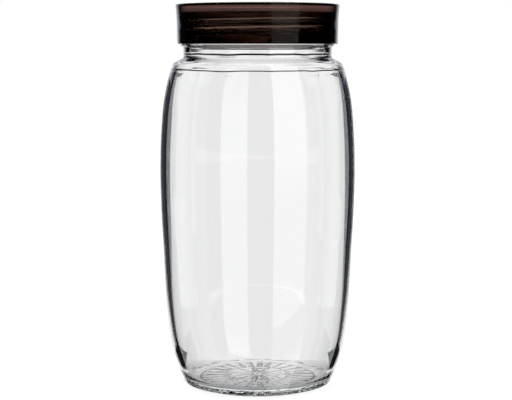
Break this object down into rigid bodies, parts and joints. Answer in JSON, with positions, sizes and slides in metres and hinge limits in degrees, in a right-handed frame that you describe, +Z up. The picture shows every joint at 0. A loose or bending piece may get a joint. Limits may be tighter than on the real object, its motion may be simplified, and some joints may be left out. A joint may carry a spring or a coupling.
{
  "type": "storage jar with screw lid",
  "caption": "Clear wide-mouth glass storage jar with a bellied body, a short neck and a dark screw-on plastic lid that holds a flat sealing disc.",
  "frame": {"origin": "on the jar's axis, in the plane that the jar stands on", "axes": "+Z up along the axis of jar and lid; the picture looks along +Y, with +X to its right"},
  "size_m": [0.124, 0.124, 0.242],
  "materials": {
    "clear_glass": "smooth pressed clear glass, polished",
    "lid_plastic": "glossy, very dark brown, lets a little light through",
    "liner_foam": "pale matt sealing disc"
  },
  "bodies": {
    "jar": {"glass_jar": "clear_glass"},
    "seal": {"lid_liner": "liner_foam"},
    "lid": {"screw_lid": "lid_plastic"}
  },
  "joints": [
    {"name": "lid_lift", "type": "slide", "parent": "jar", "child": "seal", "axis": [0, 0, 1], "range_m": [0, 0.04064]},
    {"name": "lid_turn", "type": "hinge", "parent": "seal", "child": "lid", "pos_m": [0, 0, 0.2393], "axis": [0, 0, 1], "range_deg": [0, 2880]}
  ],
  "couplings": [
    {"joint": "lid_lift", "follows": "lid_turn", "m_per_rad": 0.00080851}
  ]
}
